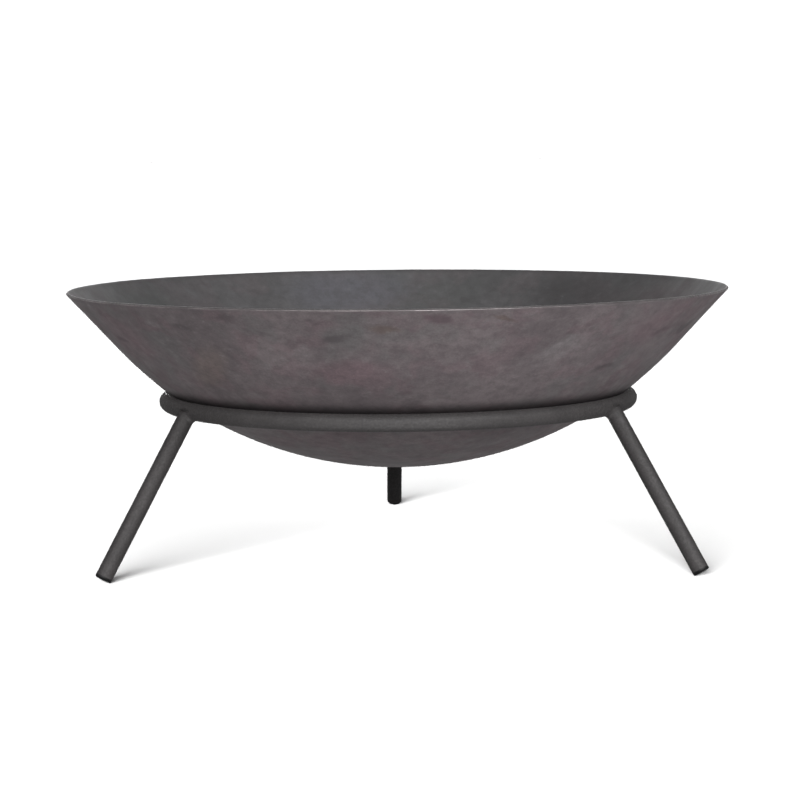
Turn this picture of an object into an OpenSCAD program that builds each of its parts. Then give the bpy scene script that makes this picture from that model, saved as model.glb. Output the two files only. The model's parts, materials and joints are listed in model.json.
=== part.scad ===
// Fire bowl on a welded tubular stand, with a loose fire grate inside the bowl.
// Millimetres, +Z up. The origin is on the ground, on the axis of the bowl.
// The back leg stands on the +Y side.

/* [Bowl] */
// Outer diameter of the bowl at its rim
bowl_d = 760; // [740:1:800]
// Thickness of the bowl's steel sheet
sheet_t = 3; // [2:0.5:4]
// Outer radius of the dished bottom
dish_r = 437; // [430:1:450]
// Steepness of the flared wall above the dish, in degrees
flare_angle = 47.5; // [45:0.5:50]
// Chamfer on both edges of the rim
rim_chamfer = 0.5; // [0.2:0.1:0.9]

/* [Stand] */
// Diameter of the tube that the ring and the legs are made of
tube_d = 19; // [17:1:22]
// Wall thickness of that tube
tube_wall = 2; // [1.5:0.1:3]
// Diameter of the ring, measured along the centre of its tube
ring_d = 533.5; // [520:0.5:550]
// Height of the ring's centre line above the ground
ring_h = 181.5; // [160:0.5:220]
// Lean of each leg away from the vertical, in degrees
leg_lean = 31.4; // [25:0.1:36]
// Distance of each leg's axis outside the centre of the ring's tube
leg_offset = 2.8; // [0:0.1:4]

/* [Leg ends] */
// Thickness of an end cap's head
cap_head = 3.5; // [3.5:0.5:5]
// Rounding of the head's edge
cap_round = 2.4; // [0.5:0.1:3]
// Length of the spigot that sits inside the tube
cap_spigot = 12; // [8:1:20]

/* [Welds] */
// Width of the weld bead around the top of a leg
bead_w = 3; // [2.5:0.1:4]
// Width of the weld that closes the ring
seam_w = 6; // [4:0.5:9]
// Height of that weld above the tube's surface
seam_h = 0.6; // [0.3:0.1:1]
// Direction of that weld, in degrees anticlockwise from +X
seam_azimuth = 150; // [120:1:170]

/* [Grate] */
// Diameter of the grate's hoop, measured along the centre of its rod
hoop_d = 400; // [360:1:420]
// Rod of the hoop and of the cross bars
hoop_rod = 10; // [8:1:12]
// Rod of the parallel bars
bar_rod = 8; // [6:1:10]
// Number of parallel bars
bar_count = 11; // [9:2:11]
// Distance from one parallel bar to the next
bar_pitch = 33; // [30:1:34]
// Distance between the two cross bars
cross_spacing = 150; // [120:5:180]

/* [Fits] */
// Gap between pieces that rest on each other and lift apart
rest_gap = 0.3; // [0.2:0.05:0.4]
// Gap between a cap's fins and the tube's bore
fin_gap = 0.02; // [0.01:0.01:0.1]

/* [Hidden] */
LEG_SIDES = ["left", "right", "back"];
LEG_AZIMUTHS = [210, 330, 90];
BARS = [for (i = [1 : bar_count]) str("grate_bar_", i)];
CROSS_BARS = ["grate_cross_bar_left", "grate_cross_bar_right"];

$fn = 96;
COATED_STEEL = "#454345";
RAW_STEEL = "#5b5758";
BLACK_PLASTIC = "#1c1c1c";
SOOTY_STEEL = "#3a3634";

bowl_r = bowl_d / 2;
tube_r = tube_d / 2;
bore_r = tube_r - tube_wall;
ring_r = ring_d / 2;
hoop_r = hoop_d / 2;
rod_r = hoop_rod / 2;

// The dish is a ball's cap that rests in the ring, so the ring's size sets the height of the ball's centre.
dish_z = ring_h + sqrt(pow(dish_r + rest_gap + tube_r, 2) - pow(ring_r, 2));
// The flare's line starts this far inside the dish's curve, so that the two surfaces cross.
crease = 0.02;
flare_length = (bowl_r - (dish_r - crease) * sin(flare_angle)) / cos(flare_angle);
// The hoop rests inside the dish in the same way.
hoop_z = dish_z - sqrt(pow(dish_r - sheet_t - rest_gap - rod_r, 2) - pow(hoop_r, 2));
bar_z = hoop_z + rod_r + bar_rod / 2;

// A leg is as long as it has to be for the lowest point of its cap to touch the ground.
leg_length = cap_round + (ring_h + leg_offset * sin(leg_lean)
    - (tube_r - cap_round) * sin(leg_lean) - cap_round) / cos(leg_lean);
leg_tube_length = leg_length - cap_head;
// The coped top of a leg is cut off square this far under the centre of the ring's tube.
cope_lip = 5.5;

// ---- Bowl ----

// Half of the space inside a bowl's surface of radius r, reaching past the rim. The ball's centre is the origin.
module bowl_profile(r) {
    foot = (r - crease) * [sin(flare_angle), -cos(flare_angle)];
    top = foot + 2 * flare_length * [cos(flare_angle), sin(flare_angle)];
    intersection() {
        circle(r);
        translate([0, -2 * r])
            square([2 * r, 2 * r + (foot[1] + top[1]) / 2]);
    }
    polygon([[0, foot[1]], foot, top, [0, top[1]]]);
}

// The sheet between two such surfaces, cut off square at the rim with both edges chamfered.
module bowl_section() {
    reach = 2 * dish_r;
    shoulder = flare_length - rim_chamfer - sheet_t;
    intersection() {
        difference() {
            bowl_profile(dish_r);
            bowl_profile(dish_r - sheet_t);
        }
        rotate(flare_angle - 90)
            translate([dish_r - crease, 0])
                polygon([
                    [reach, -reach],
                    [reach, shoulder],
                    [sheet_t, shoulder],
                    [-rim_chamfer, flare_length],
                    [rim_chamfer - sheet_t, flare_length],
                    [-2 * sheet_t, shoulder],
                    [-reach, shoulder],
                    [-reach, -reach]
                ]);
    }
}

module fire_bowl() {
    color(RAW_STEEL)
        translate([0, 0, dish_z])
            rotate_extrude()
                bowl_section();
}

// ---- Stand ----

// The ring's tube as a solid of radius r, which also shapes the ends of what is welded to it.
module ring_solid(r) {
    translate([0, 0, ring_h])
        rotate_extrude()
            translate([ring_r, 0])
                circle(r);
}

module stand_ring() {
    color(COATED_STEEL)
        difference() {
            ring_solid(tube_r);
            ring_solid(bore_r);
        }
}

// The weld where the bent tube meets itself. It is ground away on the side that the bowl rests on.
module ring_seam_weld() {
    seam_angle = seam_w / ring_r * 180 / PI;
    color(COATED_STEEL)
        translate([0, 0, ring_h])
            rotate(seam_azimuth - seam_angle / 2)
                rotate_extrude(angle = seam_angle)
                    translate([ring_r, 0])
                        difference() {
                            circle(tube_r + seam_h);
                            circle(tube_r);
                            rotate(70)
                                square(2 * tube_r);
                        }
}

// Places its children on a leg: the origin is the leg's axis beside the ring tube's centre, and -Z runs down the leg.
module on_leg(azimuth) {
    rotate(azimuth)
        translate([ring_r, 0, ring_h])
            rotate([0, -leg_lean, 0])
                translate([leg_offset, 0, 0])
                    children();
}

module leg(azimuth) {
    color(COATED_STEEL)
        difference() {
            on_leg(azimuth)
                translate([0, 0, -leg_tube_length])
                    difference() {
                        cylinder(h = leg_tube_length - cope_lip, r = tube_r);
                        translate([0, 0, -1])
                            cylinder(h = leg_tube_length + 2, r = bore_r);
                    }
            ring_solid(tube_r);
        }
}

// A push-in cap: a head with a rounded edge, and a spigot with three fins.
module leg_cap(azimuth) {
    spigot_r = bore_r - 0.8;
    fin_pitch = cap_spigot / 4;
    color(BLACK_PLASTIC)
        on_leg(azimuth)
            translate([0, 0, -leg_length]) {
                rotate_extrude() {
                    square([tube_r - cap_round, cap_head]);
                    translate([0, cap_round])
                        square([tube_r, cap_head - cap_round]);
                    intersection() {
                        translate([tube_r - cap_round, cap_round])
                            circle(cap_round);
                        square([tube_r, cap_head]);
                    }
                }
                translate([0, 0, cap_head])
                    cylinder(h = cap_spigot, r = spigot_r);
                for (i = [1 : 3])
                    translate([0, 0, cap_head + i * fin_pitch])
                        cylinder(h = 1, r = bore_r - fin_gap);
            }
}

// The bead that joins a leg to the ring: everything that lies within its width of both tubes.
module leg_weld(azimuth) {
    run = 2 * tube_d;
    color(COATED_STEEL)
        difference() {
            intersection() {
                ring_solid(tube_r + bead_w);
                on_leg(azimuth)
                    translate([0, 0, -run])
                        cylinder(h = run - cope_lip + bead_w, r = tube_r + bead_w);
            }
            ring_solid(tube_r);
            on_leg(azimuth)
                translate([0, 0, -run])
                    cylinder(h = run - cope_lip, r = tube_r);
        }
}

// ---- Grate ----

module hoop_solid() {
    translate([0, 0, hoop_z])
        rotate_extrude()
            translate([hoop_r, 0])
                circle(rod_r);
}

module grate_hoop() {
    color(SOOTY_STEEL)
        hoop_solid();
}

// One of the parallel bars, laid on top of the hoop along X. Bar 1 is nearest the front.
module grate_bar(index) {
    y = (index - (bar_count + 1) / 2) * bar_pitch;
    length = 2 * sqrt(pow(hoop_r + rod_r - 1, 2) - y * y);
    color(SOOTY_STEEL)
        translate([0, y, bar_z])
            rotate([0, 90, 0])
                cylinder(h = length, r = bar_rod / 2, center = true);
}

// A cross bar under the parallel bars. Its ends are shaped to the inside of the hoop.
module grate_cross_bar(x) {
    color(SOOTY_STEEL)
        difference() {
            intersection() {
                translate([x, 0, hoop_z])
                    rotate([90, 0, 0])
                        cylinder(h = hoop_d, r = rod_r, center = true);
                translate([0, 0, hoop_z - hoop_rod])
                    cylinder(h = 2 * hoop_rod, r = hoop_r);
            }
            hoop_solid();
        }
}

stand_ring();
ring_seam_weld();
for (i = [0 : 2]) {
    leg(LEG_AZIMUTHS[i]);
    leg_weld(LEG_AZIMUTHS[i]);
    leg_cap(LEG_AZIMUTHS[i]);
}
fire_bowl();
grate_hoop();
for (i = [1 : bar_count])
    grate_bar(i);
for (i = [0 : 1])
    grate_cross_bar((i - 0.5) * cross_spacing);
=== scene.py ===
"""Fire bowl on a welded ring stand, with a loose fire grate: looks, light and camera.

Metres throughout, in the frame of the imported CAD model: the origin is on the ground on the bowl's axis, +Z is
up and the single back leg stands on the +Y side.
"""

import json
import math
from random import Random

import bmesh
import bpy
from mathutils import Matrix, Vector, noise

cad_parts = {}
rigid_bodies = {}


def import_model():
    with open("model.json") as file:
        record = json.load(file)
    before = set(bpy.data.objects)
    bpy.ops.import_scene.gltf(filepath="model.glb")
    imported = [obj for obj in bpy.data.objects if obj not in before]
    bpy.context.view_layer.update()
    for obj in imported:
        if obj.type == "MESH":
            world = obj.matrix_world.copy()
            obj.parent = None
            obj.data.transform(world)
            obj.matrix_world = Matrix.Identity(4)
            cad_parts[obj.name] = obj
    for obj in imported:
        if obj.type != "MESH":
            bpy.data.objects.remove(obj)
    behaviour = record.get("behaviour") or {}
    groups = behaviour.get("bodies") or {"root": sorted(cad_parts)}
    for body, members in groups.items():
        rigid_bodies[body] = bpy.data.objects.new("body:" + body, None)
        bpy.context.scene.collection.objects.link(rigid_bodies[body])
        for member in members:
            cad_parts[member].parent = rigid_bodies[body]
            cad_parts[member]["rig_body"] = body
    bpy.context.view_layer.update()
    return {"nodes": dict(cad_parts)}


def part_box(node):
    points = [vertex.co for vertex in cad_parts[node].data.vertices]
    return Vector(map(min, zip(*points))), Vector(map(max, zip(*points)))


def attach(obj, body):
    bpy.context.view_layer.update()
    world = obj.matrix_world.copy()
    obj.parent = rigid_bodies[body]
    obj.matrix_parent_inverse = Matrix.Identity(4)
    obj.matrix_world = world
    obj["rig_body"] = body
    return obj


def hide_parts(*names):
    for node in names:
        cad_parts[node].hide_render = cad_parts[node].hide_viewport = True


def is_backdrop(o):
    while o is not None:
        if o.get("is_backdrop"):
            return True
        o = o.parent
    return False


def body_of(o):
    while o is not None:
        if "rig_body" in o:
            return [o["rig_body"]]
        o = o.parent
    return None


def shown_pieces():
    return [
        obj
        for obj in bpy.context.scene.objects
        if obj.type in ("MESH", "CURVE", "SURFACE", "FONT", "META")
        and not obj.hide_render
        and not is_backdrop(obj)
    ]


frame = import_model()
scene = bpy.context.scene

# ---- Sizes that the frame can't tell ----

SHEET = 0.003
DISH_R = 0.437
FLARE = math.radians(47.5)
RIM_R = 0.38
# The sheet keeps its true shape out to this radius, just past the place where it sits in the ring.
TRUE_R = 0.275
TUBE_R = 0.0095
RING_R = 0.26675
LEAN = math.radians(31.4)
LEG_OFFSET = 0.0028
COPE_LIP = 0.0055
SEAM_AZIMUTH = math.radians(150)
LEGS = {"left": math.radians(210), "right": math.radians(330), "back": math.radians(90)}

# ---- Sizes read from the frame ----

bowl_low, bowl_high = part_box("fire_bowl")
ring_low, ring_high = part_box("stand_ring")
DISH_Z = bowl_low[2] + DISH_R
RING_Z = (ring_low[2] + ring_high[2]) / 2
RIM_Z = bowl_high[2]
FLARE_LENGTH = (RIM_R - DISH_R * math.sin(FLARE)) / math.cos(FLARE)
FLARE_Z = DISH_Z - DISH_R * math.cos(FLARE)
SEAT_Z = RING_Z + TUBE_R - 0.001


def wall_radius(height):
    """Radius of the bowl's outside at a height."""
    if height > FLARE_Z:
        return DISH_R * math.sin(FLARE) + (height - FLARE_Z) / math.tan(FLARE)
    return math.sqrt(DISH_R * DISH_R - (DISH_Z - height) ** 2)


# ---- Helpers for meshes ----


def mesh_object(name, points, faces, materials, body):
    """A smooth-shaded piece made of points and faces, riding on a body."""
    mesh = bpy.data.meshes.new(name)
    mesh.from_pydata([tuple(p) for p in points], [], faces)
    for material in materials:
        mesh.materials.append(material)
    mesh.polygons.foreach_set("use_smooth", [True] * len(mesh.polygons))
    mesh.update()
    piece = bpy.data.objects.new(name, mesh)
    scene.collection.objects.link(piece)
    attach(piece, body)
    return piece


def grid_faces(rows, columns, close_rows=False, close_columns=False):
    """Quads over a grid of points that is stored row by row."""
    return [
        (
            i * columns + j,
            i * columns + (j + 1) % columns,
            (i + 1) % rows * columns + (j + 1) % columns,
            (i + 1) % rows * columns + j,
        )
        for i in range(rows if close_rows else rows - 1)
        for j in range(columns if close_columns else columns - 1)
    ]


# ---- Helpers for materials ----


class Shader:
    """One procedural material. Its texture position is the frame's own, in metres."""

    def __init__(self, name, **settings):
        self.material = bpy.data.materials.new(name)
        self.material.use_nodes = True
        self.tree = self.material.node_tree
        self.bsdf = self.tree.nodes["Principled BSDF"]
        self.position = self.node("ShaderNodeTexCoord").outputs["Object"]
        split = self.node("ShaderNodeSeparateXYZ")
        self.link(self.position, split.inputs["Vector"])
        self.height = split.outputs["Z"]
        for socket, value in settings.items():
            self.bsdf.inputs[socket.replace("_", " ")].default_value = value

    def node(self, kind, **settings):
        """Adds a node and sets its properties."""
        made = self.tree.nodes.new(kind)
        for key, value in settings.items():
            setattr(made, key, value)
        return made

    def link(self, source, target):
        """Joins an output to a socket."""
        self.tree.links.new(source, target)

    def feed(self, socket, value):
        """Puts a number, a colour or another node's output into a socket."""
        if isinstance(value, bpy.types.NodeSocket):
            self.link(value, socket)
        elif isinstance(value, tuple) and len(value) == 3 and len(socket.default_value) == 4:
            socket.default_value = (*value, 1)
        else:
            socket.default_value = value

    def stretched(self, x, y, z):
        """The texture position with each axis scaled."""
        mapping = self.node("ShaderNodeMapping")
        self.link(self.position, mapping.inputs["Vector"])
        mapping.inputs["Scale"].default_value = (x, y, z)
        return mapping.outputs["Vector"]

    def moved(self, position, offset):
        """A position moved, so that two noises of one scale differ."""
        made = self.node("ShaderNodeVectorMath", operation="ADD")
        self.link(position, made.inputs[0])
        made.inputs[1].default_value = offset
        return made.outputs["Vector"]

    def wander(self, size, reach, position=None):
        """A position pushed about by up to half of reach, in blotches about size across."""
        made = self.node("ShaderNodeTexNoise")
        self.link(position or self.position, made.inputs["Vector"])
        made.inputs["Scale"].default_value = 1 / size
        push = self.node("ShaderNodeVectorMath", operation="MULTIPLY_ADD")
        self.link(made.outputs["Color"], push.inputs[0])
        push.inputs[1].default_value = (reach, reach, reach)
        self.link(self.moved(position or self.position, (-reach / 2,) * 3), push.inputs[2])
        return push.outputs["Vector"]

    def mark(self, position, azimuth, height, half_length, half_width, tilt):
        """1 at the middle of an oval mark on the bowl's wall, and 0 beyond its edge."""
        turn = math.radians(azimuth)
        centre = Vector((math.cos(turn), math.sin(turn), 0)) * wall_radius(height) + Vector((0, 0, height))
        slope = min(FLARE, math.asin(min(1.0, wall_radius(height) / DISH_R)))
        lie = Matrix.Rotation(turn + math.pi / 2, 4, "Z") @ Matrix.Rotation(math.pi - slope, 4, "X")
        made = self.node("ShaderNodeMapping", vector_type="TEXTURE")
        self.link(position, made.inputs["Vector"])
        made.inputs["Location"].default_value = centre
        made.inputs["Rotation"].default_value = (lie @ Matrix.Rotation(math.radians(tilt), 4, "Z")).to_euler()
        made.inputs["Scale"].default_value = (half_length, half_width, 0.03)
        far = self.node("ShaderNodeVectorMath", operation="LENGTH")
        self.link(made.outputs["Vector"], far.inputs[0])
        return self.steps(far.outputs["Value"], 0.35, 1.25, 1, 0)

    def noise(self, size, detail=3.0, roughness=0.5, position=None, distortion=0.0):
        """Noise with blotches about size metres across, from 0 to 1."""
        made = self.node("ShaderNodeTexNoise")
        self.link(position or self.position, made.inputs["Vector"])
        made.inputs["Scale"].default_value = 1 / size
        made.inputs["Detail"].default_value = detail
        made.inputs["Roughness"].default_value = roughness
        made.inputs["Distortion"].default_value = distortion
        return made.outputs["Fac"]

    def steps(self, value, low, high, out_low=0.0, out_high=1.0):
        """Takes value from low..high to out_low..out_high, smoothly."""
        made = self.node("ShaderNodeMapRange", interpolation_type="SMOOTHSTEP")
        self.link(value, made.inputs["Value"])
        ends = {"From Min": low, "From Max": high, "To Min": out_low, "To Max": out_high}
        for socket, number in ends.items():
            made.inputs[socket].default_value = number
        return made.outputs["Result"]

    def mix(self, factor, a, b):
        """Colour a where factor is 0, colour b where it is 1."""
        made = self.node("ShaderNodeMix", data_type="RGBA")
        self.feed(made.inputs["Factor"], factor)
        self.feed(made.inputs[6], a)
        self.feed(made.inputs[7], b)
        return made.outputs[2]

    def maths(self, operation, a, b):
        """Two values joined by an operation."""
        made = self.node("ShaderNodeMath", operation=operation)
        self.feed(made.inputs[0], a)
        self.feed(made.inputs[1], b)
        return made.outputs[0]

    def colour(self, value):
        """Sets the base colour."""
        self.feed(self.bsdf.inputs["Base Color"], value)

    def rough(self, value):
        """Sets the roughness."""
        self.feed(self.bsdf.inputs["Roughness"], value)

    def bump(self, *layers):
        """Each layer is a height from 0 to 1 and how many metres high it stands."""
        normal = None
        for height, depth in layers:
            made = self.node("ShaderNodeBump")
            made.inputs["Strength"].default_value = 1.0
            made.inputs["Distance"].default_value = depth
            self.link(height, made.inputs["Height"])
            if normal:
                self.link(normal, made.inputs["Normal"])
            normal = made.outputs["Normal"]
        self.link(normal, self.bsdf.inputs["Normal"])


# ---- Materials ----


def raw_steel(name, tones, marks, seat_mark_and_shade=False):
    """Hot-rolled sheet with mill scale: cloudy tints, small dark smudges, broad tints and a fine grain, and, if
    asked, a dark band at the seat that is painted contact shade and a rub mark.
    """
    s = Shader(name, Metallic=0.15, Specular_IOR_Level=0.15)
    wandered = s.wander(0.035, 0.022, s.wander(0.008, 0.006))
    clouds = s.noise(0.11, 4, 0.55)
    patches = s.noise(0.05, 3, 0.6, wandered)
    tint = s.noise(0.06, 2, 0.5, s.moved(wandered, (4.1, 3.3, 0.9)))
    dabs = s.noise(0.03, 3, 0.55, s.stretched(0.9, 0.9, 1.6))
    wisps = s.noise(0.011, 4, 0.7, s.stretched(0.85, 0.85, 1.15))
    grain = s.noise(0.0022, 3, 0.65)
    colour = s.mix(s.steps(clouds, 0.36, 0.64), tones["dark"], tones["light"])
    colour = s.mix(s.steps(patches, 0.48, 0.58, 0, 0.36), colour, tones["pink"])
    colour = s.mix(s.steps(tint, 0.52, 0.62, 0, 0.3), colour, tones["teal"])
    colour = s.mix(s.steps(dabs, 0.6, 0.74, 0, 0.4), colour, tones["smudge"])
    for kind, azimuth, height, half_length, half_width, tilt in marks:
        mask = s.mark(wandered, azimuth, height, half_length, half_width, tilt)
        colour = s.mix(s.maths("MULTIPLY", mask, MARK_STRENGTH[kind]), colour, tones[kind])
    colour = s.mix(s.steps(wisps, 0.3, 0.62, 0.42, 0), colour, tones["smudge"])
    colour = s.mix(s.steps(wisps, 0.56, 0.8, 0, 0.5), colour, tones["pale"])
    colour = s.mix(s.steps(grain, 0.35, 0.7, 0.2, 0), colour, tones["smudge"])
    colour = s.mix(s.steps(s.height, RIM_Z - 0.006, RIM_Z - 0.002, 0, 0.3), colour, tones["smudge"])
    # Painted shade: a dark band where the bowl sits on the ring stands for the contact shadow there; it is also
    # a rub mark that stays on the bowl when it is lifted.
    if seat_mark_and_shade:
        above = s.steps(s.height, SEAT_Z + 0.001, SEAT_Z + 0.016, 0.85, 0)
        below = s.steps(s.height, SEAT_Z - 0.008, SEAT_Z - 0.003)
        colour = s.mix(s.maths("MULTIPLY", above, below), colour, tones["darkening"])
    s.colour(colour)
    s.rough(s.steps(patches, 0.35, 0.7, 0.5, 0.62))
    s.bump((clouds, 0.0012), (patches, 0.0002), (wisps, 0.00015), (grain, 0.00003))
    return s.material


def cut_edge():
    """The rim's sheared edge: bare steel, bright in places and tarnished in others, with painted shade on its
    upper, inner part.
    """
    s = Shader("cut_edge_steel", Metallic=0.6, Specular_IOR_Level=0.5)
    patches = s.noise(0.03, 4, 0.6)
    nicks = s.noise(0.004, 3, 0.6)
    colour = s.mix(s.steps(patches, 0.42, 0.62), (0.08, 0.071, 0.072), (0.13, 0.115, 0.117))
    colour = s.mix(s.steps(nicks, 0.5, 0.7, 0, 0.6), colour, (0.05, 0.046, 0.046))
    # Painted shade: the upper, inner part of the cut edge is darkened, so that the bright line keeps to its
    # outer corner and stays thin.
    colour = s.mix(s.steps(s.height, RIM_Z - 0.0019, RIM_Z - 0.0009, 0, 0.85), colour, (0.03, 0.027, 0.0275))
    s.colour(colour)
    s.rough(s.steps(nicks, 0.3, 0.7, 0.35, 0.55))
    s.bump((nicks, 0.0001))
    return s.material


def powder_coat():
    """Matt charcoal powder coat with its fine, pebbled texture and a little dust."""
    s = Shader("charcoal_powder_coat", Specular_IOR_Level=0.15)
    patches = s.noise(0.06, 3, 0.5)
    pebble = s.noise(0.0022, 2, 0.6)
    dust = s.noise(0.012, 4, 0.65)
    colour = s.mix(s.steps(patches, 0.35, 0.65), (0.0096, 0.0087, 0.0088), (0.0119, 0.0108, 0.0109))
    colour = s.mix(s.steps(dust, 0.52, 0.8, 0, 0.4), colour, (0.0195, 0.018, 0.0182))
    colour = s.mix(s.steps(pebble, 0.3, 0.55, 0.35, 0), colour, (0.005, 0.0046, 0.0046))
    colour = s.mix(s.steps(pebble, 0.52, 0.78, 0, 0.3), colour, (0.026, 0.024, 0.0242))
    s.colour(colour)
    s.rough(s.steps(pebble, 0.3, 0.7, 0.72, 0.55))
    s.bump((pebble, 0.00012))
    return s.material


def black_plastic():
    """Moulded black plastic of the end caps, dulled by the ground."""
    s = Shader("black_cap_plastic", Specular_IOR_Level=0.12)
    scuffs = s.noise(0.003, 4, 0.7)
    grain = s.noise(0.0006, 2, 0.5)
    s.colour(s.mix(s.steps(scuffs, 0.5, 0.75), (0.0022, 0.0022, 0.0023), (0.006, 0.0057, 0.0055)))
    s.rough(s.steps(scuffs, 0.35, 0.7, 0.45, 0.7))
    s.bump((grain, 0.00004), (scuffs, 0.00005))
    return s.material


def sooty_rod():
    """Dark rolled rod: mill scale with soot and a few rubbed, brighter places."""
    s = Shader("sooty_rod_steel", Metallic=0.4, Specular_IOR_Level=0.35)
    darkening = s.noise(0.03, 4, 0.6)
    rubbed = s.noise(0.012, 4, 0.6, s.moved(s.position, (2.0, 5.0, 1.0)))
    scale = s.noise(0.0014, 3, 0.6)
    colour = s.mix(s.steps(darkening, 0.4, 0.65), (0.06, 0.056, 0.054), (0.026, 0.024, 0.023))
    colour = s.mix(s.steps(rubbed, 0.58, 0.72, 0, 0.6), colour, (0.105, 0.094, 0.087))
    s.colour(colour)
    s.rough(s.steps(darkening, 0.35, 0.65, 0.5, 0.75))
    s.bump((scale, 0.00008), (darkening, 0.0001))
    return s.material


MARK_STRENGTH = {
    "smudge": 0.62,
    "plum": 0.7,
    "brown": 0.65,
    "pink": 0.6,
    "teal": 0.5,
    "ochre": 0.65,
    "pale": 0.5,
    "blue": 0.6,
}
# Broad tints: kind, azimuth in degrees (-90 is the front), height, half length, half width,
# and tilt in degrees.
OUTSIDE_TINTS = (
    ("pink", -150, 0.27, 0.05, 0.04, 0),
    ("ochre", -130, 0.24, 0.05, 0.02, 40),
    ("pink", -100, 0.24, 0.05, 0.02, 0),
    ("teal", -100, 0.28, 0.03, 0.02, 0),
    ("pale", -60, 0.26, 0.04, 0.02, 30),
    ("pink", -40, 0.28, 0.05, 0.03, 20),
)
INSIDE_TINTS = (
    ("teal", 150, 0.28, 0.08, 0.04, 0),
    ("blue", 100, 0.28, 0.1, 0.04, 0),
    # Painted shade: this large dark tint darkens the right-hand part of the inner back wall.
    ("smudge", 50, 0.28, 0.08, 0.04, 0),
    ("pink", 20, 0.28, 0.08, 0.04, 0),
)
SMUDGE_KINDS = ("smudge", "smudge", "smudge", "plum", "brown", "pale")
SMUDGE_COUNT = 36


def strewn_smudges(count):
    """Small rubs and smudges strewn at random all round the wall, in the same form as the tints."""
    draws = Random(4)
    return tuple(
        (
            draws.choice(SMUDGE_KINDS),
            360 / count * (i + draws.uniform(-0.5, 0.5)),
            draws.uniform(0.235, 0.3),
            draws.uniform(0.008, 0.024),
            draws.uniform(0.004, 0.009),
            draws.uniform(-30, 30),
        )
        for i in range(count)
    )


OUTSIDE = raw_steel(
    "bowl_outside_steel",
    tones={
        "light": (0.162, 0.138, 0.143),
        "dark": (0.122, 0.104, 0.109),
        "pink": (0.163, 0.112, 0.125),
        "teal": (0.116, 0.122, 0.12),
        "ochre": (0.16, 0.127, 0.118),
        "brown": (0.112, 0.084, 0.072),
        "plum": (0.088, 0.06, 0.07),
        "pale": (0.205, 0.186, 0.19),
        "smudge": (0.066, 0.056, 0.06),
        # Colour of the band at the seat: painted contact shade and rub mark.
        "darkening": (0.009, 0.0085, 0.0085),
    },
    marks=OUTSIDE_TINTS + strewn_smudges(SMUDGE_COUNT),
    seat_mark_and_shade=True,
)
# Painted shade: the inside is the same hot-rolled sheet as the outside, with tones several times darker that
# stand for the shade inside the bowl.
INSIDE_SHADED_STEEL = raw_steel(
    "bowl_inside_shaded_steel",
    tones={
        "light": (0.029, 0.0282, 0.0292),
        "dark": (0.0225, 0.0222, 0.0227),
        "pink": (0.03, 0.0245, 0.026),
        "teal": (0.0212, 0.0226, 0.022),
        "blue": (0.0258, 0.0262, 0.0315),
        "pale": (0.0375, 0.036, 0.0375),
        "smudge": (0.0135, 0.0125, 0.013),
    },
    marks=INSIDE_TINTS,
)
EDGE = cut_edge()
COAT = powder_coat()
CAP = black_plastic()
ROD = sooty_rod()


# ---- Bowl ----


def bowl_profile():
    """The section of the bowl as (radius, height) points, with the zone that each stretch belongs to.

    It runs from the middle of the underside out to the rim, over the cut edge and back along the inside.
    """
    dish_steps, flare_steps, edge_steps = 56, 24, 3
    round_r = 0.0006
    inner_r = DISH_R - SHEET

    def on_wall(along, inward):
        """A point on the flare: along it from where the dish ends, and inward from its outer face."""
        reach = DISH_R - inward
        return (
            reach * math.sin(FLARE) + along * math.cos(FLARE),
            DISH_Z - reach * math.cos(FLARE) + along * math.sin(FLARE),
        )

    def on_dish(radius, angle):
        return (radius * math.sin(angle), DISH_Z - radius * math.cos(angle))

    def seat_fill(angle):
        """Takes up the clearance over the ring, so that the sheet beds on the tube all round."""
        seat_angle = math.asin(RING_R / (DISH_R + TUBE_R))
        half_width = math.radians(4)
        depth = 0.00045
        return depth * max(0.0, 1 - ((angle - seat_angle) / half_width) ** 2)

    points, zones = [], []

    def add(point, zone):
        points.append(point)
        zones.append(zone)

    for i in range(dish_steps):
        angle = FLARE * i / dish_steps
        add(on_dish(DISH_R + seat_fill(angle), angle), "outside")
    flat = FLARE_LENGTH - round_r
    for i in range(flare_steps + 1):
        add(on_wall(flat * i / flare_steps, 0), "outside")
    for i in range(1, edge_steps + 1):
        turn = math.pi / 2 * i / edge_steps
        add(on_wall(flat + round_r * math.sin(turn), round_r * (1 - math.cos(turn))), "edge")
    for i in range(edge_steps):
        turn = math.pi / 2 * i / edge_steps
        add(on_wall(flat + round_r * math.cos(turn), SHEET - round_r * (1 - math.sin(turn))), "edge")
    for i in range(flare_steps + 1):
        add(on_wall(flat * (1 - i / flare_steps), SHEET), "inside")
    for i in range(1, dish_steps + 1):
        add(on_dish(inner_r, FLARE * (1 - i / dish_steps)), "inside")
    return points, zones


def waviness(point):
    """How far a formed sheet stands off the true shape, in metres. It is nil out to TRUE_R."""
    blend, swell, dimple = 0.09, 0.0006, 0.00025
    radius = math.hypot(point.x, point.y)
    away = min(1.0, max(0.0, (radius - TRUE_R) / blend))
    return swell * away * noise.noise(point * 7.0) + dimple * away * noise.noise(point * 19.0)


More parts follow.
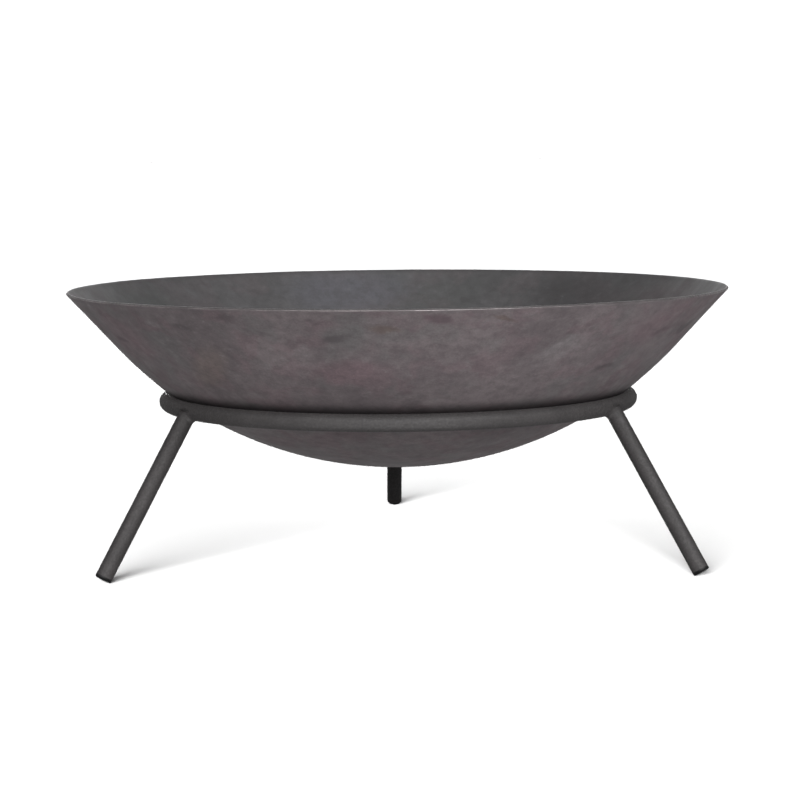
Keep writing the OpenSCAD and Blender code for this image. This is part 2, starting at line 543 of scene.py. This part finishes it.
def make_bowl():
    """The bowl as one closed sheet, with its slight unevenness, in place of the CAD solid."""
    around = 384
    profile, zones = bowl_profile()
    sideways = math.sin(FLARE)
    points = []
    for radius, height in profile:
        for k in range(around):
            turn = 2 * math.pi * k / around
            point = Vector((radius * math.cos(turn), radius * math.sin(turn), height))
            out = Vector((math.cos(turn) * sideways, math.sin(turn) * sideways, -math.cos(FLARE)))
            points.append(point + out * waviness(point))
    faces = grid_faces(len(profile), around, close_columns=True)
    bowl = mesh_object("bowl_sheet", points, faces, [OUTSIDE, INSIDE_SHADED_STEEL, EDGE], "bowl")
    slots = {"outside": 0, "inside": 1, "edge": 2}
    for face in bowl.data.polygons:
        face.material_index = slots[zones[min(face.index // around + 1, len(zones) - 1)]]
    clean = bmesh.new()
    clean.from_mesh(bowl.data)
    bmesh.ops.remove_doubles(clean, verts=clean.verts, dist=1e-7)
    bmesh.ops.recalc_face_normals(clean, faces=clean.faces)
    clean.to_mesh(bowl.data)
    clean.free()
    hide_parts("fire_bowl")


# ---- Stand ----


def leg_frame(azimuth):
    """A leg's own frame: the origin is its axis beside the ring tube's centre, and -Z runs down the leg."""
    place = Matrix.Translation((RING_R * math.cos(azimuth), RING_R * math.sin(azimuth), RING_Z))
    return place @ Matrix.Rotation(azimuth, 4, "Z") @ Matrix.Rotation(-LEAN, 4, "Y")


def smooth_union(a, b, reach):
    """Two distances joined into one, with a fillet that starts where they differ by less than reach."""
    share = max(0.0, min(1.0, 0.5 + 0.5 * (b - a) / reach))
    return b + (a - b) * share - reach * share * (1 - share)


def joint_distance(point, fillet):
    """Distance from a leg's coped top and the ring, filleted together, at a point in the leg's frame."""
    lean_x = math.cos(LEAN) * point.x - math.sin(LEAN) * point.z
    lean_z = math.sin(LEAN) * point.x + math.cos(LEAN) * point.z
    ring = math.hypot(math.hypot(RING_R + lean_x, point.y) - RING_R, lean_z) - TUBE_R
    leg = max(math.hypot(point.x - LEG_OFFSET, point.y) - TUBE_R, point.z + COPE_LIP)
    return smooth_union(ring, leg, fillet)


def settle(point, level, fillet):
    """Moves a point onto the filleted surface, level metres outside it."""
    step = 1e-5
    for _ in range(5):
        here = joint_distance(point, fillet)
        slope = Vector(
            (joint_distance(point + offset, fillet) - here) / step
            for offset in (Vector((step, 0, 0)), Vector((0, step, 0)), Vector((0, 0, step)))
        )
        point = point - slope * ((here - level) / max(slope.length_squared, 0.25))
    return point


def make_leg_weld(side, azimuth, phase):
    """The weld around the top of a leg: a smooth fillet under the coating, with faint ripples."""
    stations, steps, fillet, run = 120, 26, 0.0048, 0.007
    start_gap, crown, sink, ripple_height = 0.001, 0.00022, 0.0002, 0.00009
    place = leg_frame(azimuth)
    points = []
    for i in range(stations):
        turn = 2 * math.pi * i / stations
        out = Vector((math.cos(turn), math.sin(turn), 0))
        x = LEG_OFFSET + TUBE_R * out.x
        depth = max(COPE_LIP, math.sqrt(max(0.0, TUBE_R * TUBE_R - x * x)))
        on_leg = Vector((x, TUBE_R * out.y, -depth))
        ring_normal = Vector((x, 0, -depth)).normalized()
        along_ring = (out - ring_normal * out.dot(ring_normal)).normalized()
        for j in range(steps):
            along = 2 * j / (steps - 1) - 1
            if along < 0:
                start = on_leg + out * start_gap + Vector((0, 0, along * run))
            else:
                off_ring = ring_normal * (TUBE_R + start_gap) + Vector((0, on_leg.y, 0))
                start = off_ring + along_ring * along * run
            middle = 1 - along * along
            ripple = ripple_height * math.sin(24 * turn + 3.0 * along + phase) * middle * middle
            level = crown * middle - sink + ripple
            points.append(place @ settle(start, level, fillet))
    faces = grid_faces(stations, steps, close_rows=True)
    bead = mesh_object(f"weld_fillet_{side}", points, faces, [COAT], "stand")
    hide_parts(f"leg_weld_{side}")


def make_ring_seam():
    """The ring's closing weld: a low, rippled band around the tube, left off where the bowl rests."""
    half_width, height, sink, wander_reach = 0.003, 0.0006, 0.0001, 0.0003
    start, end = math.radians(160), math.radians(430)
    rows, columns = 90, 17
    points = []
    for i in range(rows):
        section = start + (end - start) * i / (rows - 1)
        taper = min(1.0, 6 * min(i, rows - 1 - i) / rows)
        for j in range(columns):
            across = 2 * j / (columns - 1) - 1
            rise = height * (1 - across * across) * taper
            rise *= 0.85 + 0.15 * math.sin(section * 24 + 2.5 * across * across)
            wander = wander_reach * noise.noise(Vector((section * 3, across, 0.5)))
            radius = TUBE_R - sink + rise
            azimuth = SEAM_AZIMUTH + (across * half_width + wander) / RING_R
            reach = RING_R + radius * math.cos(section)
            z = RING_Z + radius * math.sin(section)
            points.append((reach * math.cos(azimuth), reach * math.sin(azimuth), z))
    seam = mesh_object("ring_seam_band", points, grid_faces(rows, columns), [COAT], "stand")
    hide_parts("ring_seam_weld")


# ---- Grate ----


def make_grate_nuggets():
    """The spots of weld metal where the grate's rods cross, as small uneven drops."""
    hoop_low, hoop_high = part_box("grate_hoop")
    hoop_z = (hoop_low[2] + hoop_high[2]) / 2
    rod_r = (hoop_high[2] - hoop_low[2]) / 2
    hoop_r = hoop_high[0] - rod_r
    cross_bars = ("grate_cross_bar_left", "grate_cross_bar_right")
    bar_drop, cross_drop = 0.0026, 0.0034
    drops = bmesh.new()

    def drop(x, y, z, size, seed):
        made = bmesh.ops.create_icosphere(drops, subdivisions=3, radius=size)
        for vert in made["verts"]:
            bulge = 1 + 0.18 * noise.noise(vert.co.normalized() * 1.6 + Vector((seed, 0, 0)))
            flattened = Vector((vert.co.x * 1.25, vert.co.y * 0.8, vert.co.z * 0.75))
            vert.co = flattened * bulge + Vector((x, y, z))

    seed = 0
    for name in sorted(frame["nodes"]):
        if not name.startswith("grate_bar_"):
            continue
        low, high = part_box(name)
        y = (low[1] + high[1]) / 2
        bar_r = (high[2] - low[2]) / 2
        touch_z = low[2]
        crossings = [s * math.sqrt(hoop_r * hoop_r - y * y) for s in (-1, 1)]
        for cross in cross_bars:
            cross_low, cross_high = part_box(cross)
            crossings.append((cross_low[0] + cross_high[0]) / 2)
        for x in crossings:
            for side in (-1, 1):
                seed += 1
                drop(x, y + side * bar_r * 0.55, touch_z + 0.0002, bar_drop, seed * 0.73)
    for cross in cross_bars:
        low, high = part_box(cross)
        x = (low[0] + high[0]) / 2
        for side in (-1, 1):
            y = side * math.sqrt((hoop_r - rod_r) ** 2 - x * x)
            for up in (-1, 1):
                seed += 1
                drop(x, y, hoop_z + up * rod_r * 0.62, cross_drop, seed * 0.73)
    mesh = bpy.data.meshes.new("grate_weld_spots")
    drops.to_mesh(mesh)
    drops.free()
    mesh.materials.append(ROD)
    mesh.polygons.foreach_set("use_smooth", [True] * len(mesh.polygons))
    spots = bpy.data.objects.new("grate_weld_spots", mesh)
    scene.collection.objects.link(spots)
    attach(spots, "grate")


# ---- CAD nodes that stay ----


def dress_cad_nodes():
    """Gives the CAD nodes that stay in view their materials."""
    looks = {"stand_ring": COAT, "leg_cap_": CAP, "leg_": COAT, "grate_": ROD}
    for name, node in frame["nodes"].items():
        look = next((m for start, m in looks.items() if name.startswith(start)), None)
        if look:
            node.data.materials.clear()
            node.data.materials.append(look)


# ---- Camera, floor and light ----


def make_camera():
    """The viewpoint: low, almost level with the rim, from well back with a long lens."""
    distance, height = 2.861, 0.4796
    turn = math.radians(-0.96)
    pitch, roll, yaw = 0.1051, -0.00963, 0.0007
    forward = Vector((math.sin(yaw) * math.cos(pitch), math.cos(yaw) * math.cos(pitch), -math.sin(pitch)))
    right = Vector((math.cos(yaw), -math.sin(yaw), 0))
    up = right.cross(forward)
    rolled_right = right * math.cos(roll) + up * math.sin(roll)
    rolled_up = up * math.cos(roll) - right * math.sin(roll)
    pose = Matrix((rolled_right, rolled_up, -forward)).transposed().to_4x4()
    pose.translation = Vector((0, -distance, height))
    data = bpy.data.cameras.new("camera")
    data.sensor_width = 36.0
    data.lens = 111.411
    camera = bpy.data.objects.new("camera", data)
    camera.matrix_world = Matrix.Rotation(turn, 4, "Z") @ pose
    scene.collection.objects.link(camera)
    scene.camera = camera


def stage_sheet(name, points, faces, shader):
    """A surface of the set that only the camera sees, so that it casts no light of its own on the object."""
    mesh = bpy.data.meshes.new(name)
    mesh.from_pydata(points, [], faces)
    mesh.materials.append(shader.material)
    sheet = bpy.data.objects.new(name, mesh)
    scene.collection.objects.link(sheet)
    sheet.visible_diffuse = False
    sheet.visible_glossy = False
    sheet.visible_shadow = False
    sheet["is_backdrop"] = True
    return sheet


def make_set():
    """A plain white floor, which is returned, and a plain white surround."""
    size = 60.0
    white = Shader("white_floor", Roughness=0.9, Specular_IOR_Level=0.0)
    white.colour((0.4, 0.4, 0.4))
    corners = [(-size, -size, 0), (size, -size, 0), (size, size, 0), (-size, size, 0)]
    floor = stage_sheet("floor", corners, [(0, 1, 2, 3)], white)
    glow = Shader("white_surround")
    glow.colour((0, 0, 0))
    glow.bsdf.inputs["Emission Color"].default_value = (1, 1, 1, 1)
    glow.bsdf.inputs["Emission Strength"].default_value = 1.1
    ball = bmesh.new()
    bmesh.ops.create_icosphere(ball, subdivisions=4, radius=0.9 * size)
    points = [v.co.copy() for v in ball.verts]
    faces = [[v.index for v in f.verts] for f in ball.faces]
    ball.free()
    stage_sheet("surround", points, faces, glow)
    return floor


def make_sun(name, azimuth, elevation, strength, angle):
    """A soft, even light from one side. Azimuth 0 is the +X side, -90 the camera's side."""
    data = bpy.data.lights.new(name, "SUN")
    data.energy = strength
    data.angle = math.radians(angle)
    sun = bpy.data.objects.new(name, data)
    a, e = math.radians(azimuth), math.radians(elevation)
    towards = Vector((math.cos(a) * math.cos(e), math.sin(a) * math.cos(e), math.sin(e)))
    sun.matrix_world = towards.to_track_quat("Z", "Y").to_matrix().to_4x4()
    scene.collection.objects.link(sun)
    return sun


def group(name, members):
    """A collection that light linking can name."""
    made = bpy.data.collections.new(name)
    for member in members:
        made.objects.link(member)
    return made


def make_light(floor):
    """Soft light on the whole object, lamps that reach only parts of the stand, and a lamp for the floor.

    On the floor only the legs cast shade.
    """
    world = bpy.data.worlds.new("studio")
    world.use_nodes = True
    background = world.node_tree.nodes["Background"]
    background.inputs["Color"].default_value = (1, 1, 1, 1)
    background.inputs["Strength"].default_value = 0.4
    scene.world = world
    whole = group("lit_object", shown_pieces())
    for name, azimuth, elevation, strength, angle in (
        ("front", -90, 15, 2.3, 35),
        ("side_right", -40, 15, 0.4, 35),
        ("high_left", -120, 40, 3.4, 35),
        ("high_right", -60, 40, 6.4, 35),
        ("back", 90, 30, 1.2, 35),
    ):
        make_sun(name, azimuth, elevation, strength, angle).light_linking.receiver_collection = whole
    shaded = {"leg_back", "weld_fillet_back", "leg_cap_left", "leg_cap_right", "leg_cap_back"}
    near_stand = [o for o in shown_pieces() if body_of(o) == ["stand"] and o.name not in shaded]
    bounce = make_sun("bounce", -90, -38, 7.0, 60)
    bounce.light_linking.receiver_collection = group("lit_from_below", near_stand)
    ring = [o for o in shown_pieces() if "ring" in o.name]
    ring_light = make_sun("ring_light", -90, 65, 7.0, 60)
    ring_light.light_linking.receiver_collection = group("lit_ring", ring)
    ring_light.light_linking.blocker_collection = group("ring_shades", ring)
    stand = [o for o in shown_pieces() if body_of(o) == ["stand"]]
    stand_back = make_sun("stand_back", 90, 0, 4.0, 14)
    stand_back.light_linking.receiver_collection = group("lit_from_behind", stand)
    floor_light = make_sun("floor_light", -103, 10, 42.0, 36)
    floor_light.light_linking.receiver_collection = group("lit_floor", [floor])
    legs = [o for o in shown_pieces() if o.name.startswith("leg_")]
    floor_light.light_linking.blocker_collection = group("floor_shades", legs)
    scene.view_settings.view_transform = "Standard"
    scene.view_settings.look = "None"
    scene.view_settings.exposure = 0.0


make_camera()
dress_cad_nodes()
make_bowl()
for index, (side, azimuth) in enumerate(LEGS.items()):
    make_leg_weld(side, azimuth, 1.0 + index)
make_ring_seam()
make_grate_nuggets()
make_light(make_set())
